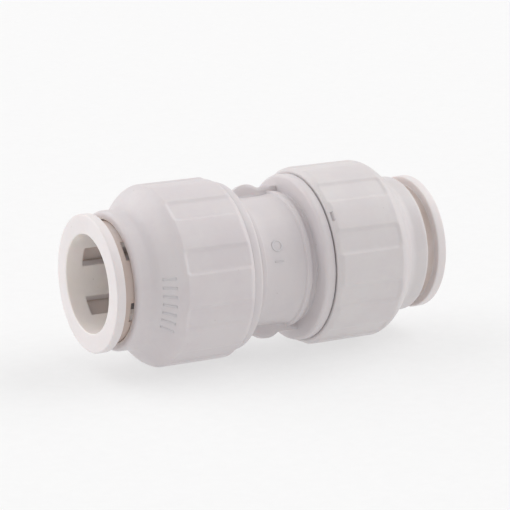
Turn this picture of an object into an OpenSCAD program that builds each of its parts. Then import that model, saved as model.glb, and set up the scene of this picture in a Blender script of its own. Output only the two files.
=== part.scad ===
// Straight push to connect fitting for plastic or copper pipe: a moulded body with a
// screw cap, a sprung collet, a spacer ring and a rubber seal at each end.
// X runs along the fitting and the origin is its centre, on the axis.

/* [Pipe] */
// Outside diameter of the pipe that pushes in
pipe_d = 15; // [13:0.5:20]
// Radial play between the pipe and every bore that guides it
pipe_play = 0.1; // [0.06:0.01:0.18]
// Depth that the pipe goes in, from the collar's face to the pipe stop
pipe_depth = 25; // [21:0.5:31]
// How much smaller the seal and the teeth are than the pipe, on the radius
pipe_bite = 0.08; // [0.05:0.01:0.15]

/* [Body] */
// Half the width of the pipe stop between the two sockets
stop_half = 3.8; // [3.2:0.1:5]
// How far the pipe stop stands in from the socket wall
stop_step = 1.6; // [1:0.1:2.2]
// Length of the guide bore between the pipe stop and the seal chamber
guide_len = 6; // [4.5:0.5:8]
// Wall of the centre tube around the guide bore
tube_wall = 2.45; // [2.2:0.05:2.8]
// Height of the step ring beside each flange, above the centre tube
bead_h = 0.35; // [0.2:0.05:0.6]
// Half the width of the plain centre tube between the step rings
tube_half = 3; // [2.6:0.1:3.3]
// Width of each step ring
bead_w = 1.3; // [0.8:0.1:1.5]
// Width of each flange that a cap screws up to
flange_w = 2.05; // [1.8:0.05:2.6]
// Run of the sloping shoulder between step ring and flange
shoulder_w = 0.7; // [0.5:0.1:1]
// How far each flange stands out past the bore of its cap
flange_step = 0.65; // [0.5:0.05:0.8]
// Radius on the inner edge of each flange
flange_round = 1; // [0.3:0.1:1.4]
// Wall of the threaded spigot around the seal chamber
spigot_wall = 1.65; // [1.4:0.05:2.2]

/* [Fins] */
// Angle of the first fin, from the +Y side up towards +Z
fin_angle = 72; // [0:1:180]
// Thickness of the two fins
fin_t = 1.5; // [1:0.1:3]
// Height of a fin above the centre tube
fin_h = 1.35; // [0.8:0.05:2]
// Height of the rounded lug in the middle of a fin, above the fin
lug_h = 0.7; // [0.4:0.1:1.2]
// Half the width of that lug, where it meets the fin
lug_half = 1.9; // [1.5:0.1:2.4]

/* [Thread] */
// Distance that a cap moves along in one full turn
thread_lead = 4; // [3:0.25:5]
// Height of the thread ridges
thread_h = 0.5; // [0.3:0.05:0.6]
// Radial play between the ridges of one piece and the wall of the other
thread_play = 0.25; // [0.2:0.05:0.35]
// Width of a ridge at its root
ridge_root_w = 0.9; // [0.7:0.05:1]
// Width of a ridge at its crest
ridge_crest_w = 0.5; // [0.3:0.05:0.6]
// Turns of each ridge inside a cap
cap_turns = 1.25; // [1:0.05:1.25]

/* [Screw cap] */
// Wall of the cap at the bottom of its flutes
cap_wall = 1.35; // [1.1:0.05:1.8]
// Depth of the flutes
flute_depth = 0.45; // [0.3:0.05:0.7]
// Number of flutes around the cap
flute_count = 10; // [8:1:12]
// Share of each pitch that the flute takes
flute_share = 0.5; // [0.4:0.05:0.6]
// Radius of the flutes' corners
flute_round = 0.8; // [0.4:0.1:1.2]
// How far the flutes run on past the start of the dome
flute_reach = 1.6; // [1.2:0.1:2]
// How far the flat lands between the flutes run on past the start of the dome
land_reach = 0.9; // [0.5:0.1:1.1]
// How far the middle of a flat land lies below the dome's widest circle
land_drop = 0.2; // [0.1:0.02:0.3]
// Wall of the cap's thin rim
rim_wall = 1.05; // [0.9:0.05:1.3]
// Length of the cone behind the rim
rim_cone = 1.1; // [0.8:0.1:1.5]
// Gap between the rim and the body's flange with the cap screwed home
rim_gap = 0.15; // [0.1:0.05:0.4]
// Radius of the round shoulder of the dome
dome_round = 4.2; // [3:0.1:4.6]
// Slope of the dome's straight stretch, from the axis
dome_slope = 47.7; // [40:0.5:52]
// Radius of the hollow between dome and nose
nose_fillet = 2.2; // [1.5:0.1:2.6]
// Length of the straight nose
nose_len = 2.15; // [1.5:0.05:2.6]
// Wall of the nose around the collet
nose_wall = 1.3; // [1.1:0.05:1.6]
// Radius on the nose's front edge
nose_round = 0.6; // [0.3:0.1:0.8]
// Width of the small index notch around the rim
notch_w = 1.6; // [1:0.1:2]
// Turn of the right-hand cap, which sets where its flutes stand
right_cap_turn = 33.5; // [0:0.5:360]
// Turn of the left-hand cap
left_cap_turn = 2.5; // [0:0.5:360]

/* [Collet] */
// Wall of the collet's fingers
collet_wall = 1.75; // [1.6:0.05:2.1]
// Play between the collet's neck and the cap's nose
neck_play = 0.1; // [0.06:0.01:0.15]
// Height of the collar above the neck
collar_h = 1.25; // [0.8:0.05:1.6]
// Thickness of the collar
collar_t = 1.5; // [1.2:0.1:2]
// Radius on the collar's edges
collar_round = 0.35; // [0.2:0.05:0.5]
// Distance that the collet pushes in to let the pipe go
release_travel = 1.7; // [1.3:0.1:2]
// Number of fingers, one tooth in each
finger_count = 6; // [5:1:7]
// Width of the slots between the fingers
slot_w = 3.2; // [2:0.1:3.4]
// Distance from the collar's face to where the slots begin
slot_start = 2.9; // [2.5:0.1:3.3]
// Rise of the fingers' cams above the neck
cam_rise = 0.85; // [0.6:0.05:1]
// Slope of the cams and of the cone in the cap
cam_slope = 16.2; // [14:0.5:20]
// Length of the cylindrical top of a cam
cam_top = 0.85; // [0.5:0.05:1.2]
// Length of the chamfer at the fingers' tips
tip_chamfer = 0.7; // [0.5:0.05:0.9]
// Turn of the right-hand collet, which sets where its slots stand
right_collet_turn = 47.5; // [0:0.5:360]
// Turn of the left-hand collet
left_collet_turn = 12.5; // [0:0.5:360]

/* [Teeth] */
// Part of a circle that each tooth covers
tooth_angle = 28; // [20:1:30]
// Depth that a tooth is set into its finger
tooth_root = 1.35; // [1:0.05:1.4]
// Thickness of a tooth at its root
tooth_t = 0.45; // [0.35:0.05:0.6]
// Thickness of a tooth at its edge
tooth_edge = 0.25; // [0.15:0.05:0.3]
// How far a tooth's edge leans inwards along the fitting
tooth_lean = 0.95; // [0.6:0.05:1.2]

/* [Seal and spacer] */
// Section diameter of the rubber seal
seal_d = 2.6; // [2.2:0.1:3]
// Play around the seal in its chamber
seal_play = 0.03; // [0.02:0.01:0.08]
// Thickness of the spacer ring along the fitting
spacer_t = 2.1; // [1.6:0.1:2.8]
// Radial play between the spacer and its chamber
spacer_play = 0.1; // [0.06:0.01:0.15]
// Radial gap between the spacer and the pipe's bore
spacer_bore_gap = 0.15; // [0.1:0.05:0.3]

/* [Hidden] */
$fn = 96;
SIDES = ["left", "right"];
over = 1;             // how far a cut runs past the face that it opens
notch_d = 0.05;       // how far the index notch cuts in below the rim's edge
notch_l = 0.5;        // length of the index notch along the axis
notch_x = 0.25;       // distance from the rim's face to the index notch
hair = 0.03;          // play between a tooth and its pocket
face_gap = 0.05;      // gap along the axis between two rings that sit face to face
tip_gap = 0.2;        // gap between fingers and spacer with the collet pushed in
spigot_over = 0.6;    // how far the spigot runs past the spacer
release_gap = 0.1;    // gap left behind the collar with the collet pushed in
ring_steps = 24;      // steps in one turn of a thread ridge
starts = 2;           // thread ridges side by side

// Radii, from the pipe outwards
bore_r = pipe_d/2 + pipe_play;
stop_r = bore_r - stop_step;
grip_r = pipe_d/2 - pipe_bite;
tube_r = bore_r + tube_wall;
bead_r = tube_r + bead_h;
chamber_r = grip_r + seal_d + seal_play;
spigot_r = chamber_r + spigot_wall;
ridge_r = spigot_r + thread_h;
cap_bore_r = ridge_r + thread_play;
cap_ridge_r = spigot_r + thread_play;
flute_r = cap_bore_r + cap_wall;
land_r = flute_r + flute_depth;
rim_r = cap_bore_r + rim_wall;
flange_r = cap_bore_r + flange_step;
neck_r = bore_r + collet_wall;
collar_r = neck_r + collar_h;
cam_r = neck_r + cam_rise;
nose_bore_r = neck_r + neck_play;
nose_r = nose_bore_r + nose_wall;
tooth_root_r = bore_r + tooth_root;

// Places along the axis, from the centre outwards
chamber_x = stop_half + guide_len;
seal_x = chamber_x + face_gap + seal_d/2;
spacer_x = seal_x + seal_d/2 + face_gap;
spigot_x = spacer_x + spacer_t + spigot_over;
tip_x = spacer_x + spacer_t + tip_gap + release_travel;
flange_in_x = tube_half + bead_w + shoulder_w;
flange_x = flange_in_x + flange_w;
rim_x = flange_x + rim_gap;
face_x = stop_half + pipe_depth;
collar_x = face_x - collar_t;
nose_x = collar_x - release_travel - release_gap;
cam_x = tip_x + tip_chamfer + cam_top;
cam_end_x = cam_x + cam_rise/tan(cam_slope);
cone_in_x = tip_x - (tip_x - spigot_x)/3;
tooth_x = cam_end_x - cam_rise/tan(cam_slope)/2;

// Dome: a round shoulder, a straight slope that touches it, and a hollow that touches both
shoulder_r = land_r - dome_round;
hollow_r = nose_r + nose_fillet;
slope_drop = shoulder_r + dome_round*cos(dome_slope) - hollow_r + nose_fillet*cos(dome_slope);
hollow_x = nose_x - nose_len;
shoulder_x = hollow_x - (dome_round + nose_fillet)*sin(dome_slope) - slope_drop/tan(dome_slope);
slope_top = [shoulder_r + dome_round*cos(dome_slope), shoulder_x + dome_round*sin(dome_slope)];
slope_foot = [hollow_r - nose_fillet*cos(dome_slope), hollow_x - nose_fillet*sin(dome_slope)];
flute_end_x = shoulder_x + flute_reach;

flute_pitch = 360/flute_count;
flute_w = 2*flute_r*sin(flute_pitch*flute_share/2);
finger_pitch = 360/finger_count;
thread_x = rim_x + rim_cone + ridge_root_w/2;

white = [0.9, 0.88, 0.87];
pale = [0.84, 0.8, 0.76];

// Sets a piece that is modelled along +Z at one end of the fitting, turned about its axis
module at_end(side, turn = 0) {
    rotate([0, 90, 0])
        rotate([0, side == "left" ? 180 : 0, 0])
            rotate([0, 0, turn]) children();
}

// Corners of one ridge section; its ends dive into the wall that carries it
function ridge_ring(i, n, wall_r, crest_r, x0) =
    let (
        a = 360*i/ring_steps,
        x = x0 + thread_lead*a/360,
        into = crest_r > wall_r ? -thread_h/2 : thread_h/2,
        end = i == 0 || i == n,
        root_r = wall_r + into,
        top_r = end ? wall_r + into/2 : crest_r
    )
    [for (p = [[root_r, -ridge_root_w], [top_r, -ridge_crest_w], [top_r, ridge_crest_w], [root_r, ridge_root_w]])
        [p[0]*cos(a), p[0]*sin(a), x + p[1]/2]];

// A helical ridge on a wall, outwards or inwards
module ridge(wall_r, crest_r, x0, turns) {
    n = round(turns*ring_steps);
    points = [for (i = [0:n], p = ridge_ring(i, n, wall_r, crest_r, x0)) p];
    sides = [for (i = [0:n - 1], k = [0:3]) [4*i + k, 4*i + (k + 1)%4, 4*i + 4 + (k + 1)%4, 4*i + 4 + k]];
    ends = [[3, 2, 1, 0], [4*n, 4*n + 1, 4*n + 2, 4*n + 3]];
    split = [for (q = concat(sides, ends), t = [[0, 1, 2], [0, 2, 3]]) [q[t[0]], q[t[1]], q[t[2]]]];
    flip = crest_r > wall_r;
    polyhedron(points, [for (t = split) flip ? t : [t[2], t[1], t[0]]]);
}

module thread(wall_r, crest_r, x0, turns) {
    for (k = [0:starts - 1])
        rotate([0, 0, 360*k/starts]) ridge(wall_r, crest_r, x0, turns);
}

// Body ------------------------------------------------------------------------------

module half_body_outline() {
    polygon([
        [0, 0], [tube_r, 0], [tube_r, tube_half], [bead_r, tube_half], [bead_r, tube_half + bead_w],
        [flange_r - flange_round, flange_in_x], [flange_r - flange_round, flange_in_x + flange_round],
        [flange_r, flange_in_x + flange_round], [flange_r, flange_x], [spigot_r, flange_x],
        [spigot_r, spigot_x - thread_h], [spigot_r - thread_h, spigot_x], [0, spigot_x]
    ]);
    translate([flange_r - flange_round, flange_in_x + flange_round]) circle(flange_round);
}

module body_bores() {
    cylinder(r = stop_r, h = 2*spigot_x, center = true);
    for (up = [0, 1]) mirror([0, 0, up]) {
        translate([0, 0, stop_half]) cylinder(r = bore_r, h = spigot_x);
        translate([0, 0, chamber_x]) cylinder(r = chamber_r, h = spigot_x);
        translate([0, 0, spigot_x - thread_h])
            cylinder(r1 = chamber_r, r2 = chamber_r + thread_h, h = thread_h);
        translate([0, 0, spigot_x]) cylinder(r = chamber_r + thread_h, h = over);
    }
}

// Two thin fins with a rounded lug, standing off the centre tube between the flanges
module fins() {
    lug_r = (lug_half*lug_half + lug_h*lug_h)/(2*lug_h);
    for (turn = [0, 180])
        rotate([0, 0, fin_angle + 90 + turn]) rotate([90, 0, 0])
            linear_extrude(fin_t, center = true) {
                translate([bore_r + tube_wall/2, -flange_in_x - flange_round])
                    square([tube_wall/2 + fin_h, 2*(flange_in_x + flange_round)]);
                translate([tube_r + fin_h + lug_h - lug_r, 0]) circle(lug_r);
            }
}

module body() {
    color(white) at_end("right") difference() {
        union() {
            rotate_extrude() {
                half_body_outline();
                mirror([0, 1]) half_body_outline();
            }
            fins();
            rotate([0, 0, right_cap_turn]) thread(spigot_r, ridge_r, thread_x, cap_turns);
            rotate([0, 180, 0]) rotate([0, 0, left_cap_turn]) thread(spigot_r, ridge_r, thread_x, cap_turns);
        }
        body_bores();
    }
}

// Screw cap -------------------------------------------------------------------------

module cap_outline() {
    difference() {
        union() {
            polygon([
                [0, rim_x], [rim_r, rim_x], [land_r, rim_x + rim_cone], [land_r, shoulder_x], slope_top,
                slope_foot, [nose_r, hollow_x], [nose_r, nose_x - nose_round],
                [nose_r - nose_round, nose_x - nose_round], [nose_r - nose_round, nose_x], [0, nose_x]
            ]);
            translate([shoulder_r, shoulder_x]) circle(dome_round);
            translate([nose_r - nose_round, nose_x - nose_round]) circle(nose_round);
        }
        translate([hollow_r, hollow_x]) circle(nose_fillet);
    }
}

// Thread bore, then the cone that closes the fingers, then the bore of the nose
module cap_hollow() {
    cone_in_r = nose_bore_r + (cam_end_x - cone_in_x)*tan(cam_slope);
    rotate_extrude() polygon([
        [0, rim_x - over], [cap_bore_r, rim_x - over], [cap_bore_r, cone_in_x], [cone_in_r, cone_in_x],
        [nose_bore_r, cam_end_x], [nose_bore_r, nose_x + over], [0, nose_x + over]
    ]);
}

// One flute: a pocket with a round floor and round corners, open at the rim
module flute_cut() {
    difference() {
        rotate([0, 90, 0]) linear_extrude(land_r + over) {
            translate([-flute_end_x + flute_round, -flute_w/2])
                square([flute_end_x, flute_w]);
            translate([-flute_end_x, -flute_w/2 + flute_round])
                square([flute_end_x, flute_w - 2*flute_round]);
            for (y = [-1, 1])
                translate([-flute_end_x + flute_round, y*(flute_w/2 - flute_round)]) circle(flute_round);
        }
        cylinder(r = flute_r, h = 2*face_x);
    }
}

// One flat land between two flutes
module land_cut() {
    rotate([0, 0, flute_pitch/2])
        translate([land_r - land_drop, -land_r/2, rim_x - over])
            cube([over, land_r, shoulder_x + land_reach - rim_x + over]);
}

// Small notch in the rim, in line with one land, that shows how far the cap is turned
module index_notch() {
    rotate([0, 0, 5.5*flute_pitch])
        translate([rim_r - notch_d, -notch_w/2, rim_x + notch_x]) cube([2, notch_w, notch_l]);
}

module cap(side, turn) {
    color(white) at_end(side, turn) union() {
        difference() {
            rotate_extrude() cap_outline();
            cap_hollow();
            for (i = [0:flute_count - 1]) rotate([0, 0, i*flute_pitch]) {
                flute_cut();
                land_cut();
            }
            index_notch();
        }
        thread(cap_bore_r, cap_ridge_r, thread_x + thread_lead/starts/2, cap_turns);
    }
}

// Collet ----------------------------------------------------------------------------

module collet_outline() {
    polygon([
        [bore_r, tip_x], [cam_r - tip_chamfer, tip_x], [cam_r, tip_x + tip_chamfer], [cam_r, cam_x],
        [neck_r, cam_end_x], [neck_r, collar_x], [collar_r - collar_round, collar_x],
        [collar_r - collar_round, collar_x + collar_round], [collar_r, collar_x + collar_round],
        [collar_r, face_x - collar_round], [collar_r - collar_round, face_x - collar_round],
        [collar_r - collar_round, face_x], [bore_r, face_x]
    ]);
    for (x = [collar_x, face_x - 2*collar_round])
        translate([collar_r - collar_round, x + collar_round]) circle(collar_round);
}

// Arc of tooth strip, grown by a play for the pocket that holds it
module tooth_arc(play) {
    half = tooth_t/2 + play;
    edge = tooth_edge/2 + play;
    angle = tooth_angle + 2*asin(play/bore_r);
    rotate_extrude(angle = angle, start = -angle/2) polygon([
        [grip_r, tooth_x - tooth_lean - edge], [tooth_root_r + play, tooth_x - half],
        [tooth_root_r + play, tooth_x + half], [grip_r, tooth_x - tooth_lean + edge]
    ]);
}

module collet(side, turn) {
    slot_len = face_x - slot_start - tip_x;
    color(pale) at_end(side, turn) difference() {
        rotate_extrude() collet_outline();
        for (i = [0:finger_count - 1]) rotate([0, 0, i*finger_pitch]) {
            translate([0, -slot_w/2, tip_x - over]) cube([cam_r + over, slot_w, slot_len + over]);
            rotate([0, 0, finger_pitch/2]) tooth_arc(hair);
        }
    }
}

module tooth(side, turn, i) {
    color("lightsteelblue") at_end(side, turn)
        rotate([0, 0, (i - 0.5)*finger_pitch]) tooth_arc(0);
}

// Spacer and seal -------------------------------------------------------------------

module spacer(side) {
    color(white) at_end(side) difference() {
        translate([0, 0, spacer_x]) cylinder(r = chamber_r - spacer_play, h = spacer_t);
        translate([0, 0, spacer_x - over]) cylinder(r = bore_r + spacer_bore_gap, h = spacer_t + 2*over);
    }
}

module seal(side) {
    color("dimgray") at_end(side)
        rotate_extrude() translate([grip_r + seal_d/2, seal_x]) circle(seal_d/2);
}

body();
for (s = SIDES) {
    cap_turn = s == "left" ? left_cap_turn : right_cap_turn;
    collet_turn = s == "left" ? left_collet_turn : right_collet_turn;
    cap(s, cap_turn);
    collet(s, collet_turn);
    spacer(s);
    seal(s);
    for (i = [1:finger_count])
        tooth(s, collet_turn, i);
}
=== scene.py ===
import math

import bmesh
import bpy
import numpy as np
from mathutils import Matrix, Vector


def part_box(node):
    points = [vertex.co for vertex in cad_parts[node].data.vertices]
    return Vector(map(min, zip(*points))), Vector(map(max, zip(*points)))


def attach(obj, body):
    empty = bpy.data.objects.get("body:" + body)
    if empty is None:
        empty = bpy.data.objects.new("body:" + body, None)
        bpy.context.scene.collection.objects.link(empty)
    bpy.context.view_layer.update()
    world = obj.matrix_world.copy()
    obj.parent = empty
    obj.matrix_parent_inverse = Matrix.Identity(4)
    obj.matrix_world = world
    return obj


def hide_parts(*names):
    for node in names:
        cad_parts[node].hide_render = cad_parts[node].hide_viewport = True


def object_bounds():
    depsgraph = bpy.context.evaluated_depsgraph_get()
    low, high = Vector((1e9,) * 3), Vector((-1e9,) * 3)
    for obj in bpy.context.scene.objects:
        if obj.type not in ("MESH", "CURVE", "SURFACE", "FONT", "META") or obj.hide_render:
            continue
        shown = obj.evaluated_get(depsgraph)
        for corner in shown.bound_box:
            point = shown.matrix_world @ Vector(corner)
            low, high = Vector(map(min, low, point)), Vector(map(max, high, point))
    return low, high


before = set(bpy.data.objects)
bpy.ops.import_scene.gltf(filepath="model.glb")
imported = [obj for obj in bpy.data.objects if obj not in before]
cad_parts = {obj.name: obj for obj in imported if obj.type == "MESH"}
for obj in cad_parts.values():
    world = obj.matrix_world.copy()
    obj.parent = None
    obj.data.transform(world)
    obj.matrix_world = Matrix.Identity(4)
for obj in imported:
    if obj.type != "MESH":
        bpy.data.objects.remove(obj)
cad_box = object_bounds()

# Straight push-fit pipe coupling. Sizes are in millimetres until a mesh is made. "along" is the
# distance from the fitting's centre, and each end has its own azimuth, counted about its own
# outward direction. A step is the longest stretch between two points of an outline, and columns
# are the places round the axis at which an outline is repeated.
MM = 0.001
TURN = 2 * math.pi
SIDES = ("left", "right")


def reach(node):
    """Nearest and furthest distance along the fitting, and outer radius, of a node."""
    low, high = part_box(node)
    ends = sorted(abs(v) / MM for v in (low.x, high.x))
    return ends[0], ends[1], max(high.y, high.z, -low.y, -low.z) / MM


# Places and radii that the frame gives
SPIGOT_X, FLANGE_R = reach("body")[1:]
RIM_X, NOSE_X = reach("right_cap")[:2]
TIP_X, FACE_X, COLLAR_R = reach("right_collet")
SPACER_IN, SPACER_OUT, SPACER_R = reach("right_spacer")
SEAL_IN, SEAL_OUT, SEAL_R = reach("right_seal")

# Small edges that a mould leaves, and how near to a wall's radius counts as on it
EDGE = 0.12
COLLET_EDGE = EDGE * 1.5
ON_WALL = EDGE / 4

# A corner's arc takes at most this share of each side, and corners flatter than twice the half
# angle stay as they are
SIDE_SHARE = 0.45
STRAIGHT_HALF = math.radians(80)

# Body
BORE_R = 7.6
STOP_R = 6.0
STOP_HALF = 3.8
TUBE_R = 10.05
FLARE_X = 1.5
FLARE_H = 0.22
BEAD_IN_X = 3.4
BEAD_OUT_X = 4.35
BEAD_R = 10.65
BEAD_FLANK = 0.18
VALLEY_R = 10.15
FLANGE_IN_X = 5.45
FLANGE_ROUND = 0.55
WALL_LEAN = 0.02
RIM_GAP = 0.15
FLANGE_X = RIM_X - RIM_GAP
CHAMBER_R = 10.05
CHAMBER_X = 9.8
SPIGOT_R = 11.7
SPIGOT_CHAMFER = 0.5
BODY_STEP = 0.6
TUBE_STEP = 0.25
BODY_THREAD_STEP = 0.12
BODY_BORE_STEP = 1.2
BODY_COLUMNS = 150

# Fins on the body. The columns beside a fin stand at FIN_FLANKS from its two side walls.
FIN_ANGLE = math.radians(162)
FIN_T = 1.5
FIN_TOP_R = 11.4
LUG_TOP_R = 12.1
LUG_HALF = 1.9
FIN_BLEND = 0.22
FIN_DROP = 4.0
FIN_RUN = 0.3
FIN_BEND = 0.8
FIN_FLANKS = np.array([0, 0.04, 0.09, 0.15, 0.25, 0.45, 0.75])

# Mark on the centre tube
MARK_X = -1.0
MARK_AT = math.radians(243)
MARK_RING = 0.8
MARK_LINE = 0.3
MARK_H = 0.1

# Thread
LEAD = 4.0
STARTS = 2
THREAD_H = 0.5
RIDGE_ROOT = 0.9
RIDGE_CREST = 0.5
RIDGE_FADE = math.radians(14)
THREAD_TURNS = 1.25

# Screw cap
CAP_BORE_R = 12.45
RIM_R = 13.5
RIM_CONE = 1.1
RIM_ROUND = 0.28
CONE_ROUND = 1.6
LAND_R = 14.25
LAND_DROP = 0.2
LAND_REACH = 0.35
FLUTES = 10
FLUTE_R = 13.8
FLUTE_HALF = 2.16
FLUTE_ROUND = 1.1
FLUTE_REACH = 1.6
DOME_ROUND = 4.2
DOME_SLOPE = math.radians(47.7)
NOSE_R = 10.75
NOSE_BORE_R = 9.45
NOSE_LEN = 2.15
NOSE_FILLET = 2.2
NOSE_ROUND = 0.6
CONE_IN_X = 16.07
CONE_IN_R = 10.88
CONE_OUT_X = 20.98
CAP_TURN = {"left": math.radians(2.5), "right": math.radians(33.5)}
CAP_STEP = 1.0
CUT_STEP = 0.09
CUT_PAST_CONE = 0.2
CUT_BEFORE_END = 1.2
CUT_PAST_END = 0.5
DOME_STEP = 0.35
CAP_THREAD_STEP = 0.14

# How the cuts in a cap's barrel run out: their height, and the widths of their rounded walls.
# The columns at a flute's walls stand at FLUTE_DEPTHS inwards from them.
CUT_H = 0.65
WALL_RUN = 1.6
WALL_BLEND = 0.25
FLAT_RUN = 2.2
FLAT_BLEND = 0.3
FLUTE_DEPTHS = np.array(
    [-1.7, -1.1, -0.7, -0.42, -0.26, -0.14, -0.05, 0.02, 0.09]
    + [0.16, 0.24, 0.33, 0.44, 0.56, 0.7, 0.9, 1.2, 1.6]
)

# The dome's arc, a straight slope and the nose's fillet end where the nose starts
SLOPE_ROUNDS = DOME_ROUND + NOSE_FILLET
SLOPE_FALL = LAND_R - NOSE_R - SLOPE_ROUNDS * (1 - math.cos(DOME_SLOPE))
SHOULDER_X = NOSE_X - NOSE_LEN - SLOPE_ROUNDS * math.sin(DOME_SLOPE) - SLOPE_FALL / math.tan(DOME_SLOPE)
SHOULDER_R = LAND_R - DOME_ROUND

# Where the ridges start on the spigots, and half a pitch further on, in the caps
THREAD_X = RIM_X + RIM_CONE + RIDGE_ROOT / 2
CAP_THREAD_X = THREAD_X + LEAD / STARTS / 2

# Index notch beside a cap's rim
NOTCH_AT = 5.5 * TURN / FLUTES
NOTCH_W = 1.5
NOTCH_L = 0.42
NOTCH_X = RIM_X + 0.5
NOTCH_D = 0.1
NOTCH_RUN = 0.12
NOTCH_COLUMNS = (-0.08, -0.03, 0.02, 0.07)

# Row of raised bars on the left dome, a little past the end of its arc
GRIP_PAST = 0.5
GRIP_X = SHOULDER_X + DOME_ROUND * math.sin(DOME_SLOPE) + GRIP_PAST
GRIP_ON_R = SHOULDER_R + DOME_ROUND * math.cos(DOME_SLOPE) - GRIP_PAST * math.tan(DOME_SLOPE)
GRIP_AT = math.radians(244)
GRIP_STEP = math.radians(6.3)
GRIP_BARS = 7
GRIP_LEN = 2.3
GRIP_W = 0.4
GRIP_H = 0.055

# How deep a raised mark's underside lies in the wall that carries it, and the points of its mesh
SINK = 0.3
BAR_GRID = (9, 13)
RING_GRID = (12, 48)

# Collet. A finger's columns crowd towards its slots by the share CROWDING.
NECK_R = 9.35
COLLAR_T = 1.5
COLLAR_ROUND = 0.22
CAM_R = 10.2
CAM_X = 18.05
TIP_CHAMFER = 0.7
TIP_FLARE = 0.35
TIP_FLARE_SLOPE = 0.6
SLOT_HALF = 1.6
SLOT_END = FACE_X - 2.9
FINGERS = 6
FINGER_PITCH = TURN / FINGERS
COLLET_TURN = {"left": math.radians(12.5), "right": math.radians(47.5)}
COLLAR_STEP = 0.4
FINGER_STEP = 0.45
FINGER_COLUMNS = 19
CROWDING = 0.35
SLOT_COLUMNS = np.array([-0.5, 0.0, 0.5])

# Teeth
TOOTH_HALF = math.radians(14)
TOOTH_X = 19.51
TOOTH_LEAN = 0.95
TOOTH_ROOT_R = 8.95
TOOTH_T = 0.45
TOOTH_EDGE = 0.25
TOOTH_BEVEL = 0.04
TOOTH_STEP = 0.4
TOOTH_COLUMNS = 25
TOOTH_TIP_R = 7.42

# Spacer ring
SPACER_PLAY = 0.15
GROOVE = 0.3
SPACER_STEP = 0.5
SPACER_COLUMNS = 120

# Seal ring and the line that its mould leaves
FLASH_H = 0.03
FLASH_FALL = 6
SEAL_POINTS = 40
SEAL_COLUMNS = 144

# Bevelled edges and shading
SHARP = math.radians(38)
EVEN_WEIGHT = 60

# Studio, in metres and degrees. Each light is where it comes from, its strength and its spread.
FLOOR_SIZE = 3.0
FLOOR_GLOW = 0.57
SKY = (1.0, 0.99, 0.99, 1.0)
SKY_STRENGTH = 0.65
LIGHTS = {
    "right_softbox": ((0.75, -0.1, 0.65), 1.35, 60),
    "back_softbox": ((-0.6, 0.6, 0.5), 1.5, 70),
}
CAMERA_AT = (-0.1826, -0.3310, 0.0955)
CAMERA_TURN = (90 - 14.03, 0, -28.9)
LENS = 176.5
NEAREST = 0.01


# Outlines ---------------------------------------------------------------------------


def arc(x, r, radius, start, end, steps):
    """Points of an arc about (x, r). Angle 0 points away from the axis and 90 outwards along it."""
    turns = np.linspace(start, end, steps + 1)
    return [(x + radius * math.sin(t), r + radius * math.cos(t)) for t in turns]


def softened(points, radius, steps=3):
    """An open outline with each inner corner turned into a small arc, but for nearly straight ones."""
    soft = [points[0]]
    for before, here, after in zip(points, points[1:], points[2:]):
        here = np.array(here, float)
        a = np.array(before, float) - here
        b = np.array(after, float) - here
        la = np.linalg.norm(a)
        lb = np.linalg.norm(b)
        half = math.acos(max(-1, min(1, a @ b / la / lb))) / 2
        if half > STRAIGHT_HALF:
            soft.append(tuple(here))
            continue
        back = min(radius / math.tan(half), la * SIDE_SHARE, lb * SIDE_SHARE)
        first = here + a / la * back
        last = here + b / lb * back
        for t in np.linspace(0, 1, steps + 1):
            soft.append(tuple((1 - t) ** 2 * first + 2 * t * (1 - t) * here + t * t * last))
    return soft + [points[-1]]


def filled(points, step, zones=()):
    """The outline with points added, so that no stretch is longer than the step.

    A zone is a lowest and a highest distance along the fitting, with its own finer step."""
    full = [points[0]]
    for a, b in zip(points, points[1:]):
        low, high = sorted((a[0], b[0]))
        cuts = [x for start, end, _ in zones for x in (start, end) if low < x < high]
        if cuts:
            cuts.sort(key=lambda x: abs(x - a[0]))
            split = [a] + [(x, a[1] + (b[1] - a[1]) * (x - a[0]) / (b[0] - a[0])) for x in cuts] + [b]
            full += filled(split, step, zones)[1:]
            continue
        middle = (a[0] + b[0]) / 2
        pitch = min([step] + [fine for start, end, fine in zones if start < middle < end])
        count = max(1, math.ceil(math.dist(a, b) / pitch))
        full += [tuple(np.array(a) + (np.array(b) - np.array(a)) * k / count) for k in range(1, count + 1)]
    return full


def ring_azimuths(count):
    """Even places round the axis, or round any ring."""
    return np.arange(count) * TURN / count


# Surface relief ---------------------------------------------------------------------


def smooth(t):
    """0 up to 0, 1 from 1, and a smooth rise between."""
    t = np.clip(t, 0, 1)
    return t * t * (3 - 2 * t)


def soft_min(a, b, blend):
    """The lower of two heights, with their crossing rounded over."""
    h = np.clip(0.5 + 0.5 * (b - a) / blend, 0, 1)
    return a * h + b * (1 - h) - blend * h * (1 - h)


def soft_max(a, b, blend):
    """The higher of two heights, with their crossing filled in."""
    return -soft_min(-a, -b, blend)


def ridge_height(along, azimuth, start_x):
    """Height of the thread ridges at a place on a wall."""
    height = 0
    for start in range(STARTS):
        for lap in (0, 1):
            turned_by = (azimuth - TURN * start / STARTS) % TURN + TURN * lap
            off = np.abs(along - start_x - LEAD * turned_by / TURN)
            flank = smooth((RIDGE_ROOT / 2 - off) / (RIDGE_ROOT - RIDGE_CREST) * 2)
            ends = smooth(turned_by / RIDGE_FADE) * smooth((TURN * THREAD_TURNS - turned_by) / RIDGE_FADE)
            height = np.maximum(height, THREAD_H * flank * ends)
    return height


def pocket(across, along, half, end, corner):
    """How far a place lies inside a round-cornered pocket that is open at the rim."""
    side = np.abs(across) - (half - corner)
    ahead = along - (end - corner)
    outside = np.hypot(np.maximum(side, 0), np.maximum(ahead, 0))
    return corner - outside - np.minimum(np.maximum(side, ahead), 0)


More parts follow.
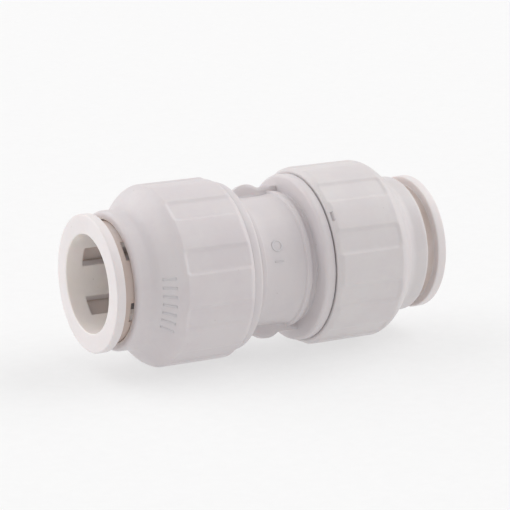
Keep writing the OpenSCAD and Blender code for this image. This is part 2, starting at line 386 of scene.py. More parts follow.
def cap_relief(along, radius, azimuth):
    """Radius of a cap's surface: flutes, flat lands and a notch outside, thread ridges inside."""
    pitch = TURN / FLUTES
    from_flute = (azimuth + pitch / 2) % pitch - pitch / 2
    inside = pocket(LAND_R * np.sin(from_flute), along, FLUTE_HALF, SHOULDER_X + FLUTE_REACH, FLUTE_ROUND)
    floor = FLUTE_R + CUT_H * (1 - smooth(0.5 + inside / WALL_RUN))
    flat = (LAND_R - LAND_DROP) / np.cos(pitch / 2 - np.abs(from_flute))
    flat = flat + CUT_H * smooth((along - SHOULDER_X - LAND_REACH) / FLAT_RUN)
    beside = np.abs(RIM_R * (azimuth - NOTCH_AT)) - NOTCH_W / 2
    beyond = np.abs(along - NOTCH_X) - NOTCH_L / 2
    notch = RIM_R - NOTCH_D + CUT_H * smooth(0.5 + np.maximum(beside, beyond) / NOTCH_RUN)
    outer = soft_min(soft_min(radius, flat, FLAT_BLEND), floor, WALL_BLEND)
    outer = soft_min(outer, notch, NOTCH_RUN / 4)
    bore = radius - ridge_height(along, azimuth, CAP_THREAD_X)
    barrel = (radius > (CAP_BORE_R + RIM_R) / 2) & (along > RIM_X + EDGE / 2)
    thread_wall = (np.abs(radius - CAP_BORE_R) < ON_WALL) & (along < CONE_IN_X - EDGE)
    return np.where(barrel, outer, np.where(thread_wall, bore, radius))


def fin_height(along, azimuth):
    """Radius of the top of the fins where they stand, and far below the tube elsewhere."""
    lug_h = LUG_TOP_R - FIN_TOP_R
    lug_r = (LUG_HALF ** 2 + lug_h ** 2) / (2 * lug_h)
    lug = LUG_TOP_R - lug_r + np.sqrt(np.maximum(lug_r ** 2 - along ** 2, 0))
    top = soft_max(np.where(np.abs(along) < lug_r, lug, 0), FIN_TOP_R + 0 * along, FIN_BLEND)
    from_fin = (azimuth - FIN_ANGLE + TURN / 4) % (TURN / 2) - TURN / 4
    beyond = np.abs(FIN_TOP_R * np.tan(from_fin)) - FIN_T / 2
    return top - FIN_DROP * smooth(0.5 + beyond / FIN_RUN) ** FIN_BEND


def body_relief(along, radius, azimuth):
    """Radius of the body's outside: fins on the tube, thread ridges on both spigots."""
    ridges = np.maximum(
        np.where(along > 0, ridge_height(along, azimuth - CAP_TURN["right"], THREAD_X), 0),
        np.where(along < 0, ridge_height(-along, TURN / 2 - azimuth - CAP_TURN["left"], THREAD_X), 0),
    )
    finned = soft_max(radius, fin_height(along, azimuth), FIN_BLEND)
    spigot = np.abs(radius - SPIGOT_R) < ON_WALL
    tube = (np.abs(along) < FLANGE_IN_X + FLANGE_ROUND) & (radius > CHAMBER_R - EDGE)
    return np.where(spigot, radius + ridges, np.where(tube, finned, radius))


# Meshes -----------------------------------------------------------------------------


def set_place(side, along, radius, azimuth):
    """Points in the frame, in metres, of one end's own distances, radii and azimuths."""
    way = 1 if side == "right" else -1
    x = way * along + 0 * azimuth
    y = radius * np.sin(azimuth)
    z = -way * radius * np.cos(azimuth)
    return np.stack(np.broadcast_arrays(x, y, z), -1) * MM


def grid_faces(rows, columns, close_rows=True, close_columns=True, first=0):
    """Four-sided faces over a grid of points, row by row."""
    faces = []
    for i in range(rows if close_rows else rows - 1):
        a = first + i * columns
        b = first + (i + 1) % rows * columns
        for j in range(columns if close_columns else columns - 1):
            k = (j + 1) % columns
            faces.append((a + j, a + k, b + k, b + j))
    return faces


def new_piece(name, points, faces, finish, body, slot, nodes, bevel=0):
    """A smooth mesh piece that rides on its body and stands for its nodes."""
    mesh = bpy.data.meshes.new(name)
    mesh.from_pydata(points.reshape(-1, 3).tolist(), [], faces)
    work = bmesh.new()
    work.from_mesh(mesh)
    bmesh.ops.recalc_face_normals(work, faces=work.faces)
    if bevel:
        sharp = [e for e in work.edges if e.is_manifold and e.calc_face_angle() > SHARP]
        bmesh.ops.bevel(
            work, geom=sharp, offset=bevel * MM, segments=2, profile=0.5, affect="EDGES", clamp_overlap=True
        )
    for face in work.faces:
        face.smooth = True
    work.to_mesh(mesh)
    work.free()
    mesh.materials.append(finish)
    piece = bpy.data.objects.new(name, mesh)
    bpy.context.scene.collection.objects.link(piece)
    even = piece.modifiers.new("even_shading", "WEIGHTED_NORMAL")
    even.weight = EVEN_WEIGHT
    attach(piece, body)
    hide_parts(*nodes)


def turned(side, outline, azimuths, relief=None, turn=0):
    """Points and faces of a closed outline swept round the axis."""
    outline = np.array(outline)
    along = outline[:, :1]
    azimuths = np.array(azimuths)[None, :]
    radius = outline[:, 1:] + 0 * azimuths
    if relief:
        radius = relief(along, radius, azimuths)
    points = set_place(side, along, radius, azimuths + turn)
    return points, grid_faces(*radius.shape)


def grid_rim(rows, columns):
    """Numbers of the points along the edge of a grid, in one way round."""
    rim = [(i, 0) for i in range(rows)]
    rim += [(rows - 1, j) for j in range(1, columns)]
    rim += [(i, columns - 1) for i in range(rows - 2, -1, -1)]
    rim += [(0, j) for j in range(columns - 2, 0, -1)]
    return [i * columns + j for i, j in rim]


def raised_bars(side, spots, width, length, height):
    """Points and faces of small raised bars, each sunk into the wall that carries it.

    A spot is the place of a bar's middle (along, radius, azimuth), the slope of the wall there
    and the bar's own turn on the wall."""
    points = []
    faces = []
    u = np.linspace(-1, 1, BAR_GRID[0])[:, None]
    v = np.linspace(-1, 1, BAR_GRID[1])[None, :]
    edge = np.minimum((1 - np.abs(u)) * width / 2, (1 - np.abs(v)) * length / 2)
    rise = height * smooth(edge / (2 * height))
    loop = grid_rim(u.size, v.size)
    for along, radius, azimuth, slope, lie in spots:
        du = u * width / 2
        dv = v * length / 2
        down = du * math.cos(lie) - dv * math.sin(lie)
        round_it = du * math.sin(lie) + dv * math.cos(lie)
        for lift in (rise, rise * 0 - SINK):
            out = radius - down * math.sin(slope) + lift * math.cos(slope)
            ahead = along + down * math.cos(slope) + lift * math.sin(slope)
            first = len(points) * u.size * v.size
            points.append(set_place(side, ahead, out, azimuth + round_it / radius))
            faces += grid_faces(u.size, v.size, False, False, first)
        top = first - u.size * v.size
        faces += [(top + a, top + b, first + b, first + a) for a, b in zip(loop, loop[1:] + loop[:1])]
    return np.concatenate([p.reshape(-1, 3) for p in points]), faces


def raised_ring(side, middle, ring_r, width, height):
    """Points and faces of a small raised ring, sunk into the wall that carries it."""
    along, radius, azimuth = middle
    section = ring_azimuths(RING_GRID[0])[:, None]
    turns = ring_azimuths(RING_GRID[1])[None, :]
    out = ring_r + width / 2 * np.cos(section)
    lift = np.where(np.sin(section) > 0, height, SINK) * np.sin(section) + 0 * turns
    points = set_place(
        side, along + out * np.cos(turns), radius + lift, azimuth + out * np.sin(turns) / radius
    )
    return points, grid_faces(section.size, turns.size)


def joined(*parts):
    """Several sets of points and faces as one."""
    points = []
    faces = []
    count = 0
    for some, more in parts:
        some = some.reshape(-1, 3)
        points.append(some)
        faces += [tuple(k + count for k in face) for face in more]
        count += len(some)
    return np.concatenate(points), faces


# Finishes ---------------------------------------------------------------------------


class Value:
    """An output of a shader node, on which sums can be written."""

    def __init__(self, finish, socket):
        self.finish = finish
        self.socket = socket

    def sums(self, operation, *terms):
        """The outcome of a Math node on some terms."""
        return self.finish.node("ShaderNodeMath", {"operation": operation}, dict(enumerate(terms)))

    def __add__(self, other):
        return self.sums("ADD", self, other)

    def __radd__(self, other):
        return self.sums("ADD", other, self)

    def __sub__(self, other):
        return self.sums("SUBTRACT", self, other)

    def __rsub__(self, other):
        return self.sums("SUBTRACT", other, self)

    def __mul__(self, other):
        return self.sums("MULTIPLY", self, other)

    def __rmul__(self, other):
        return self.sums("MULTIPLY", other, self)

    def __pow__(self, other):
        return self.sums("POWER", self, other)

    def __abs__(self):
        return self.sums("ABSOLUTE", self)


class Finish:
    """A node material. Its steady numbers are set on the shader, and the rest is fed to it."""

    def __init__(self, name, **steady):
        self.material = bpy.data.materials.new(name)
        self.material.use_nodes = True
        self.tree = self.material.node_tree
        self.tree.nodes.clear()
        self.shader = self.tree.nodes.new("ShaderNodeBsdfPrincipled")
        out = self.tree.nodes.new("ShaderNodeOutputMaterial")
        self.tree.links.new(self.shader.outputs[0], out.inputs[0])
        for socket, value in steady.items():
            self.shader.inputs[socket.replace("_", " ")].default_value = value
        place = self.node("ShaderNodeTexCoord", out="Object")
        self.place = self.node("ShaderNodeVectorMath", {"operation": "SCALE"}, {0: place, "Scale": 1 / MM})
        x, y, z = (self.node("ShaderNodeSeparateXYZ", sockets={0: self.place}, out=way) for way in "XYZ")
        self.along = abs(x)
        self.radius = (y * y + z * z) ** 0.5

    def node(self, kind, settings=None, sockets=None, out=0):
        """A node of any kind. Its settings are set first, then its sockets are filled or linked."""
        made = self.tree.nodes.new(kind)
        for setting, value in (settings or {}).items():
            setattr(made, setting, value)
        for socket, value in (sockets or {}).items():
            if isinstance(value, Value):
                self.tree.links.new(value.socket, made.inputs[socket])
            else:
                made.inputs[socket].default_value = value
        return Value(self, made.outputs[out])

    def noise(self, scale, detail=2.0, rough=0.5, place=None):
        """Cloudy noise. Its scale is in clouds per millimetre."""
        return self.node(
            "ShaderNodeTexNoise",
            sockets={"Vector": place or self.place, "Scale": scale, "Detail": detail, "Roughness": rough},
        )

    def stretched(self, x, y, z):
        """The place, with each direction scaled on its own."""
        return self.node("ShaderNodeVectorMath", {"operation": "MULTIPLY"}, {0: self.place, 1: (x, y, z)})

    def band(self, value, low, high):
        """0 below low, 1 above high, and smooth between. The order may be the other way round."""
        return self.node(
            "ShaderNodeMapRange",
            {"interpolation_type": "SMOOTHSTEP"},
            {"Value": value, "From Min": low, "From Max": high},
        )

    def mix(self, factor, a, b):
        """Colour a where the factor is 0, and b where it is 1. A Mix node's colours have these sockets."""
        return self.node("ShaderNodeMix", {"data_type": "RGBA"}, {0: factor, 6: a, 7: b}, out=2)

    def feed(self, socket, value):
        """Links a value to a socket of the shader."""
        self.tree.links.new(value.socket, self.shader.inputs[socket])

    def bump(self, height, strength, depth):
        """Feeds Normal with a relief, its depth in millimetres."""
        relief = {"Strength": strength, "Distance": depth * MM, "Height": height}
        self.feed("Normal", self.node("ShaderNodeBump", sockets=relief))


def colour(red, green, blue):
    """A colour given as it looks on a screen, from 0 to 255, as linear light."""
    return tuple((v / 255) ** 2.2 for v in (red, green, blue)) + (1.0,)


def grey(level):
    """A colour with all three the same."""
    return colour(level, level, level)


def moulded_plastic(name, base, shade, tints, gloss=0.42):
    """Satin moulded plastic: cloudy colour, fine spark-eroded grain, faint flow and handling marks.

    tints gives the masks and colours of places painted darker, lighter or warmer than the rest, as painted
    shade and painted bounce light in hollows, or as the plastic's own darker clouds."""
    plastic = Finish(
        name,
        Subsurface_Weight=0.18,
        Subsurface_Radius=(1.0, 0.7, 0.55),
        Subsurface_Scale=0.9 * MM,
        IOR=1.47,
        Specular_IOR_Level=0.42,
    )
    cloud = plastic.noise(0.13, detail=3, rough=0.55)
    mottle = plastic.noise(0.9, detail=4, rough=0.6)
    flow = plastic.noise(1.0, detail=4, rough=0.6, place=plastic.stretched(0.16, 1.1, 1.1))
    rubbed = plastic.noise(1.6, detail=6, rough=0.7, place=plastic.stretched(2.6, 0.35, 0.6))
    scuffs = plastic.band(rubbed, 0.62, 0.74)
    grain = plastic.noise(7.5, detail=3, rough=0.6)
    peel = plastic.noise(1.35, detail=2, rough=0.5)
    cells = plastic.node("ShaderNodeTexVoronoi", sockets={"Vector": plastic.place, "Scale": 0.55})
    specks = plastic.band(cells, 0.085, 0.05)
    clouding = cloud + 0.35 * (mottle - 0.5) + 0.25 * (flow - 0.5)
    tone = plastic.mix(plastic.band(clouding, 0.34, 0.68), base, shade)
    for mask, tint in tints(plastic):
        # Each tint goes in where its mask stands, broken up a little by the clouds: painted shade, painted
        # light, or the plastic's own clouds
        tone = plastic.mix(mask * plastic.band(cloud, 0.0, 0.6), tone, tint)
    tone = plastic.mix(0.3 * specks * plastic.band(mottle, 0.5, 0.6), tone, colour(150, 138, 126))
    plastic.feed("Base Color", tone)
    plastic.feed("Roughness", gloss + 0.16 * (grain - 0.5) + 0.14 * (cloud - 0.5) + 0.1 * scuffs)
    plastic.bump(0.5 * grain + 0.9 * peel + 0.5 * scuffs + 0.6 * flow, strength=0.35, depth=0.035)
    return plastic.material


def body_plastic():
    """White, with painted shade: a little darker in the bore and on the flange faces that the caps come up
    to.
    """
    def tints(plastic):
        # Painted shade inside the bore, and on the flange next to the gap at the cap's rim
        bore = plastic.band(plastic.radius, CHAMBER_R + 0.3, BORE_R)
        seat_shade = plastic.band(plastic.along, FLANGE_X - 0.4, FLANGE_X + 0.3)
        seat_shade = seat_shade * plastic.band(plastic.radius, FLANGE_R, FLANGE_R - 0.6)
        return [(0.45 * bore + 0.25 * seat_shade, colour(196, 180, 168))]

    return moulded_plastic("satin_white_body", colour(212, 206, 207), colour(209, 203, 205), tints)


def cap_plastic(side):
    """White, with a warmer light where the nose's bore stands close about the collet."""
    def tints(plastic):
        return [(0.8 * plastic.band(plastic.radius, NOSE_BORE_R + 0.5, NOSE_BORE_R), colour(238, 228, 220))]

    shades = {
        "left": (colour(212, 206, 207), colour(209, 202, 204)),
        "right": (colour(213, 208, 208), colour(210, 204, 205)),
    }
    return moulded_plastic(f"satin_white_{side}_cap", *shades[side], tints)


def collet_plastic():
    """Natural white, with painted light in the bore and warm painted shade on the neck behind the collar.
    """
    def tints(plastic):
        back = FACE_X - COLLAR_T
        # Painted light in the bore, and warm painted shade on the neck in the gap behind the collar
        bore = plastic.band(plastic.radius, BORE_R + 0.12, BORE_R + 0.02)
        neck = plastic.band(plastic.along, back + 0.1, back - 0.25)
        neck = neck * plastic.band(plastic.radius, NECK_R - 0.5, NECK_R - 0.1)
        return [(0.95 * bore, colour(250, 243, 238)), (0.6 * neck, colour(186, 160, 142))]

    shades = (colour(226, 220, 220), colour(223, 217, 217))
    return moulded_plastic("satin_natural_collet", *shades, tints, gloss=0.38)


def spacer_plastic():
    """Natural white with darker clouds."""
    def tints(plastic):
        return [(0.3 * plastic.band(plastic.noise(0.4), 0.4, 0.7), colour(190, 178, 164))]

    shades = (colour(214, 210, 205), colour(206, 201, 196))
    return moulded_plastic("satin_spacer", *shades, tints, gloss=0.5)


def stamped_steel():
    """Bright strip steel, with rolling lines across each tooth and a duller stamped edge."""
    steel = Finish("stamped_strip_steel", Metallic=1.0, Anisotropic=0.4)
    lines = steel.noise(2.2, detail=5, rough=0.65, place=steel.stretched(14, 1, 1))
    stain = steel.noise(0.8, detail=3, rough=0.6)
    cut = steel.band(steel.radius, TOOTH_TIP_R + 0.25, TOOTH_TIP_R + 0.1)
    tone = steel.mix(steel.band(lines, 0.3, 0.7), colour(176, 178, 182), colour(206, 207, 209))
    tone = steel.mix(0.5 * steel.band(stain, 0.55, 0.75), tone, colour(158, 152, 142))
    steel.feed("Base Color", steel.mix(0.4 * cut, tone, colour(226, 228, 230)))
    steel.feed("Roughness", 0.24 + 0.2 * lines + 0.14 * cut)
    steel.bump(lines, strength=0.4, depth=0.012)
    return steel.material


def seal_rubber():
    """Matt black rubber with a thin film of silicone grease and pale bloom."""
    rubber = Finish("greased_black_rubber", Specular_IOR_Level=0.35, Coat_Roughness=0.22)
    skin = rubber.noise(5.0, detail=4, rough=0.6)
    bloom = rubber.band(rubber.noise(0.6, detail=4, rough=0.6), 0.48, 0.72)
    grease = rubber.band(rubber.noise(0.35, detail=2, rough=0.5), 0.42, 0.6)
    tone = rubber.mix(0.6 * bloom + 0.2 * skin, colour(44, 43, 44), colour(82, 80, 78))
    rubber.feed("Base Color", tone)
    rubber.feed("Roughness", 0.52 + 0.2 * bloom - 0.1 * skin)
    rubber.feed("Coat Weight", 0.5 * grease)
    rubber.bump(skin, strength=0.5, depth=0.03)
    return rubber.material


def backdrop_paper():
    """Pale seamless paper with a faint fibre, lit a little from within."""
    paper = Finish(
        "pale_backdrop_paper", Roughness=0.85, Specular_IOR_Level=0.2, Emission_Strength=FLOOR_GLOW
    )
    fibre = paper.noise(0.6, detail=4, rough=0.6)
    paper.feed("Base Color", paper.mix(fibre, grey(151), grey(154)))
    paper.feed("Emission Color", paper.mix(fibre, (0.96, 0.96, 0.96, 1.0), (1.0, 1.0, 1.0, 1.0)))
    return paper.material


# Body -------------------------------------------------------------------------------


def body_outline():
    """Closed section of the body, from the middle of the tube out to the right and back."""
    flare = [(FLARE_X + t * (BEAD_IN_X - FLARE_X), TUBE_R + FLARE_H * t * t) for t in np.linspace(0, 1, 7)]
    flange_low = (FLANGE_IN_X + FLANGE_ROUND, FLANGE_R - FLANGE_ROUND)
    outside = softened(
        [(0, TUBE_R)] + flare + [(BEAD_IN_X + BEAD_FLANK, BEAD_R), (BEAD_OUT_X, BEAD_R)]
        + [(BEAD_OUT_X + EDGE, VALLEY_R), (FLANGE_IN_X - WALL_LEAN, VALLEY_R)]
        + arc(*flange_low, FLANGE_ROUND, -TURN / 4, 0, steps=6)
        + [(FLANGE_X, FLANGE_R), (FLANGE_X, SPIGOT_R), (SPIGOT_X - SPIGOT_CHAMFER, SPIGOT_R)]
        + [(SPIGOT_X, SPIGOT_R - SPIGOT_CHAMFER), (SPIGOT_X, CHAMBER_R + SPIGOT_CHAMFER)],
        EDGE,
    )
    thread_end = THREAD_X + LEAD * THREAD_TURNS + RIDGE_ROOT
    zones = [(0, BEAD_IN_X, TUBE_STEP), (THREAD_X - RIDGE_ROOT, thread_end, BODY_THREAD_STEP)]
    bore = softened(
        [(SPIGOT_X, CHAMBER_R + SPIGOT_CHAMFER), (SPIGOT_X - SPIGOT_CHAMFER, CHAMBER_R)]
        + [(CHAMBER_X, CHAMBER_R), (CHAMBER_X, BORE_R), (STOP_HALF, BORE_R)]
        + [(STOP_HALF, STOP_R), (0, STOP_R)],
        EDGE,
    )
    right = filled(outside, BODY_STEP, zones) + filled(bore, BODY_BORE_STEP)[1:]
    left = [(-x, r) for x, r in reversed(right)]
    return right + left[1:-1]


def body_azimuths():
    """Places round the axis, close together at the side walls of both fins."""
    beside = np.concatenate([FIN_T / 2 - FIN_FLANKS[::-1], FIN_T / 2 + FIN_FLANKS[1:]])
    at_fin = np.arctan(beside / FIN_TOP_R)
    plain = np.arange(at_fin[-1], TURN / 4, TURN / BODY_COLUMNS)[1:]
    near = np.concatenate([at_fin, plain, [TURN / 4]])
    half = np.concatenate([near, TURN / 2 - near[-2::-1]])
    return np.concatenate([half, TURN / 2 + half[1:-1]]) + FIN_ANGLE


def cavity_mark():
    """Small raised ring and bar on the centre tube, as a mould's cavity mark."""
    ring = raised_ring("right", (MARK_X, TUBE_R, MARK_AT), MARK_RING, MARK_LINE, MARK_H)
    bar_at = (MARK_X, TUBE_R, MARK_AT + 3 * MARK_RING / TUBE_R, 0, TURN / 4)
    return ring, raised_bars("right", [bar_at], MARK_LINE, 2 * MARK_RING, MARK_H)


def make_body():
    """Centre tube with beads, two flanges, two finned sides and two threaded spigots."""
    shell = turned("right", body_outline(), body_azimuths(), body_relief)
    mesh = joined(shell, *cavity_mark())
    new_piece("Body_Moulding", *mesh, body_plastic(), "fitting", "fitting_plastic", ["body"])


# Screw caps -------------------------------------------------------------------------


def cap_outline():
    """Closed section of a cap, from its rim over the barrel, dome and nose and back inside."""
    cone = [(RIM_X, RIM_R), (RIM_X + RIM_CONE, LAND_R), (SHOULDER_X, LAND_R)]
    cone = softened(cone, CONE_ROUND, steps=6)
    barrel = softened([(RIM_X, CAP_BORE_R + EDGE)] + cone, RIM_ROUND, steps=5)
    dome = arc(SHOULDER_X, SHOULDER_R, DOME_ROUND, 0, DOME_SLOPE, steps=14)[1:]
    hollow = arc(NOSE_X - NOSE_LEN, NOSE_R + NOSE_FILLET, -NOSE_FILLET, DOME_SLOPE, 0, steps=10)
    nose = arc(NOSE_X - NOSE_ROUND, NOSE_R - NOSE_ROUND, NOSE_ROUND, 0, TURN / 4, steps=6)
    mouth = softened(
        [nose[-1], (NOSE_X, NOSE_BORE_R), (CONE_OUT_X, NOSE_BORE_R), (CONE_IN_X, CONE_IN_R)]
        + [(CONE_IN_X, CAP_BORE_R), (RIM_X + EDGE, CAP_BORE_R), (RIM_X, CAP_BORE_R + EDGE)],
        EDGE,
    )
    flute_end = SHOULDER_X + FLUTE_REACH
    zones = [
        (RIM_X, RIM_X + RIM_CONE + CUT_PAST_CONE, CUT_STEP),
        (flute_end - CUT_BEFORE_END, flute_end + CUT_PAST_END, CUT_STEP),
        (SHOULDER_X, NOSE_X, DOME_STEP),
    ]
    outside = filled(barrel[:-1] + [(SHOULDER_X, LAND_R)] + dome + hollow + nose, CAP_STEP, zones)
    thread_end = CAP_THREAD_X + LEAD * THREAD_TURNS + RIDGE_ROOT
    inside = filled(mouth, CAP_STEP, [(CAP_THREAD_X - RIDGE_ROOT, thread_end, CAP_THREAD_STEP)])
    return outside + inside[1:-1]


def cap_azimuths():
    """Places round the axis, close together at the walls of the flutes and of the notch."""
    near = np.arcsin((FLUTE_HALF - FLUTE_DEPTHS[::-1]) / LAND_R)
    in_pitch = np.concatenate([-near[::-1], [0], near])
    azimuths = [k * TURN / FLUTES + a for k in range(FLUTES) for a in in_pitch]
    azimuths += [NOTCH_AT + s * (NOTCH_W / 2 + d) / RIM_R for s in (-1, 1) for d in NOTCH_COLUMNS]
    return np.unique(np.round(np.array(azimuths + [NOTCH_AT]) % TURN, 5))


def grip_marks(side):
    """Faint raised bars on the dome, in a plain even row."""
    spots = [(GRIP_X, GRIP_ON_R, GRIP_AT + k * GRIP_STEP, DOME_SLOPE, 0) for k in range(GRIP_BARS)]
    return raised_bars(side, spots, GRIP_LEN, GRIP_W, GRIP_H)


def make_cap(side):
    """Screw cap: fluted barrel with flat lands, dome and nose, threaded inside."""
    parts = [turned(side, cap_outline(), cap_azimuths(), cap_relief, CAP_TURN[side])]
    if side == "left":
        parts.append(grip_marks(side))
    new_piece(
        f"{side.capitalize()}_Screw_Cap", *joined(*parts), cap_plastic(side),
        f"{side}_cap", "cap_plastic", [f"{side}_cap"]
    )


# Collets and teeth ------------------------------------------------------------------


def collar_outline():
    """Section of a collet's unslotted end, from the bore over face and collar to the neck."""
    back = FACE_X - COLLAR_T
    low = COLLAR_R - COLLAR_ROUND
    outline = softened([(SLOT_END, BORE_R), (FACE_X, BORE_R), (FACE_X, COLLAR_R)], COLLET_EDGE)[:-1]
    outline += arc(FACE_X - COLLAR_ROUND, low, COLLAR_ROUND, TURN / 4, 0, steps=5)
    outline += arc(back + COLLAR_ROUND, low, COLLAR_ROUND, 0, -TURN / 4, steps=5)
    outline += softened([(back, low), (back, NECK_R), (SLOT_END, NECK_R)], COLLET_EDGE)[1:]
    return filled(outline, COLLAR_STEP)


def finger_outline():
    """Outer line of a sprung finger, from its tip over the cam to the end of the slots."""
    outline = [(TIP_X, CAM_R - TIP_CHAMFER), (TIP_X + TIP_CHAMFER, CAM_R), (CAM_X, CAM_R)]
    outline += [(CONE_OUT_X, NECK_R), (SLOT_END, NECK_R)]
    return filled(softened(outline, EDGE), FINGER_STEP)


def slot_walls(collar, finger, first):
    """Faces of the two side walls of one finger, whose points start at first."""
    rows = len(collar) + 2 * len(finger) - 2
    tip = len(collar) + len(finger) - 2
    faces = []
    for j in range(len(finger) - 1):
        corners = (tip - j, tip - j - 1, (tip + j + 2) % rows, tip + j + 1)
        for column in (0, FINGER_COLUMNS - 1):
            faces.append(tuple(first + column + row * FINGER_COLUMNS for row in corners))
    return faces


def slot_bridge(rows, before, first, after):
    """Faces of the collar behind one slot. Its own points start at first, between two fingers."""
    lines = []
    for row in range(rows):
        middle = [first + row * SLOT_COLUMNS.size + k for k in range(SLOT_COLUMNS.size)]
        lines.append([before + row * FINGER_COLUMNS] + middle + [after + row * FINGER_COLUMNS])
    faces = []
    for upper, lower in list(zip(lines, lines[1:])) + [(lines[0], lines[-1])]:
        faces += [(upper[k], upper[k + 1], lower[k + 1], lower[k]) for k in range(len(upper) - 1)]
    return faces


def make_collet(side):
    """Collar, neck and sprung fingers with cams, the fingers parted by square-ended slots."""
    collar = collar_outline()
    finger = finger_outline()
    bore = [(x, BORE_R + max(0, TIP_FLARE - (x - TIP_X)) * TIP_FLARE_SLOPE) for x, _ in finger[:-1]]
    loop = np.array(collar + finger[-2::-1] + bore)
    even = np.linspace(0, 1, FINGER_COLUMNS)
    shares = smooth(even) * CROWDING + even * (1 - CROWDING)
    half_slot = np.arcsin(SLOT_HALF / loop[:, 1:])
    size = len(loop) * FINGER_COLUMNS
    grids = []
    faces = []
    for k in range(FINGERS):
        azimuth = half_slot + (FINGER_PITCH - 2 * half_slot) * shares[None, :] + k * FINGER_PITCH
        grids.append(set_place(side, loop[:, :1], loop[:, 1:], azimuth + COLLET_TURN[side]).reshape(-1, 3))
        faces += grid_faces(len(loop), FINGER_COLUMNS, True, False, k * size)
        faces += slot_walls(collar, finger, k * size)
    ends = loop[:len(collar)]
    for k in range(FINGERS):
        azimuth = half_slot[:len(collar)] * SLOT_COLUMNS[None, :] + k * FINGER_PITCH
        grids.append(set_place(side, ends[:, :1], ends[:, 1:], azimuth + COLLET_TURN[side]).reshape(-1, 3))
        before = (k - 1) % FINGERS * size + FINGER_COLUMNS - 1
        first = FINGERS * size + k * azimuth.size
        faces += slot_bridge(len(collar), before, first, k * size)
    new_piece(
        f"{side.capitalize()}_Collet", np.concatenate(grids), faces, collet_plastic(),
        f"{side}_collet", "collet_plastic", [f"{side}_collet"], bevel=EDGE
    )


def make_tooth(side, number, finish):
    """One stamped tooth: a thin arc of strip that leans inwards to its edge."""
    edge_x = TOOTH_X - TOOTH_LEAN
    section = [
        (edge_x - TOOTH_EDGE / 2, TOOTH_TIP_R),
        (TOOTH_X - TOOTH_T / 2, TOOTH_ROOT_R),
        (TOOTH_X + TOOTH_T / 2, TOOTH_ROOT_R),
        (edge_x + TOOTH_EDGE / 2, TOOTH_TIP_R),
    ]
    section = filled(section, TOOTH_STEP)
    section = np.array(section + [tuple((np.array(section[0]) + section[-1]) / 2)])
    middle = (number - 0.5) * FINGER_PITCH + COLLET_TURN[side]
    azimuths = np.linspace(-TOOTH_HALF, TOOTH_HALF, TOOTH_COLUMNS)[None, :] + middle
    points = set_place(side, section[:, :1], section[:, 1:] + 0 * azimuths, azimuths)
    faces = grid_faces(len(section), TOOTH_COLUMNS, True, False)
    for column in (0, TOOTH_COLUMNS - 1):
        faces.append(tuple(row * TOOTH_COLUMNS + column for row in range(len(section))))
    new_piece(
        f"{side.capitalize()}_Tooth_{number}", points, faces, finish,
        f"{side}_collet", "steel", [f"{side}_tooth_{number}"], bevel=TOOTH_BEVEL
    )


# Rings inside -----------------------------------------------------------------------


def make_spacer(side):
    """Loose ring between seal and collet, chamfered, with a shallow groove round its outside."""
    bore = BORE_R + SPACER_PLAY
    middle = (SPACER_IN + SPACER_OUT) / 2
    half = GROOVE / 2
    outline = softened(
        [(middle, bore), (SPACER_IN, bore), (SPACER_IN, SPACER_R - half), (SPACER_IN + half, SPACER_R)]
        + [(middle - GROOVE, SPACER_R), (middle - half, SPACER_R - GROOVE)]
        + [(middle + half, SPACER_R - GROOVE), (middle + GROOVE, SPACER_R)]
        + [(SPACER_OUT - half, SPACER_R), (SPACER_OUT, SPACER_R - half)]
        + [(SPACER_OUT, bore), (middle, bore)],
        EDGE,
    )
    shell = turned(side, filled(outline, SPACER_STEP)[:-1], ring_azimuths(SPACER_COLUMNS))
    new_piece(
        f"{side.capitalize()}_Spacer_Ring", *shell, spacer_plastic(),
        f"{side}_spacer", "spacer_plastic", [f"{side}_spacer"]
    )


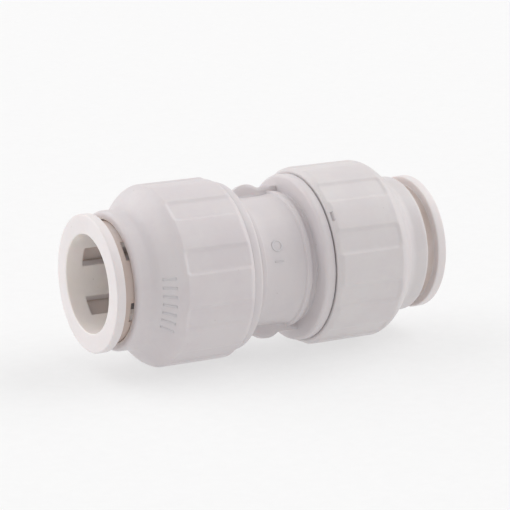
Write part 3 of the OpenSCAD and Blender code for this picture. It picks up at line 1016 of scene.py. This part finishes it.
def make_seal(side):
    """Round-section rubber seal with the thin line that its mould leaves round it."""
    half = (SEAL_OUT - SEAL_IN) / 2
    middle = (SEAL_OUT + SEAL_IN) / 2
    turns = ring_azimuths(SEAL_POINTS)
    line = FLASH_H * smooth(1 - np.abs(np.sin(turns)) * FLASH_FALL)
    outline = [
        (middle + (half - rise) * math.sin(t), SEAL_R - half + (half - FLASH_H + rise) * math.cos(t))
        for t, rise in zip(turns, line)
    ]
    shell = turned(side, outline, ring_azimuths(SEAL_COLUMNS))
    new_piece(
        f"{side.capitalize()}_Seal_Ring", *shell, seal_rubber(), "fitting", "rubber", [f"{side}_seal"]
    )


# Studio -----------------------------------------------------------------------------


def make_floor():
    """Wide floor under the object's lowest point."""
    mesh = bpy.data.meshes.new("floor")
    work = bmesh.new()
    bmesh.ops.create_grid(work, x_segments=8, y_segments=8, size=FLOOR_SIZE)
    bmesh.ops.translate(work, verts=work.verts, vec=(0, 0, cad_box[0].z))
    work.to_mesh(mesh)
    work.free()
    mesh.materials.append(backdrop_paper())
    floor = bpy.data.objects.new("Floor", mesh)
    bpy.context.scene.collection.objects.link(floor)


def make_light(name, source, strength, spread):
    """Soft light from far off. source points from the object towards it."""
    data = bpy.data.lights.new(name, "SUN")
    data.energy = strength
    data.angle = math.radians(spread)
    lamp = bpy.data.objects.new(name, data)
    lamp.rotation_euler = Vector(source).to_track_quat("Z", "Y").to_euler()
    bpy.context.scene.collection.objects.link(lamp)


def make_studio():
    """Pale surroundings and two wide lights."""
    world = bpy.data.worlds.new("studio")
    world.use_nodes = True
    background = world.node_tree.nodes["Background"]
    background.inputs["Color"].default_value = SKY
    background.inputs["Strength"].default_value = SKY_STRENGTH
    bpy.context.scene.world = world
    for name, light in LIGHTS.items():
        make_light(name, *light)
    bpy.context.scene.view_settings.view_transform = "Standard"


def make_camera():
    """Long lens, a little above the object and to its left."""
    data = bpy.data.cameras.new("camera")
    data.lens = LENS
    data.clip_start = NEAREST
    camera = bpy.data.objects.new("Camera", data)
    camera.location = CAMERA_AT
    camera.rotation_euler = [math.radians(t) for t in CAMERA_TURN]
    bpy.context.scene.collection.objects.link(camera)
    bpy.context.scene.camera = camera


make_body()
steel = stamped_steel()
for side in SIDES:
    make_cap(side)
    make_collet(side)
    make_spacer(side)
    make_seal(side)
    for number in range(1, FINGERS + 1):
        make_tooth(side, number, steel)
make_floor()
make_studio()
make_camera()
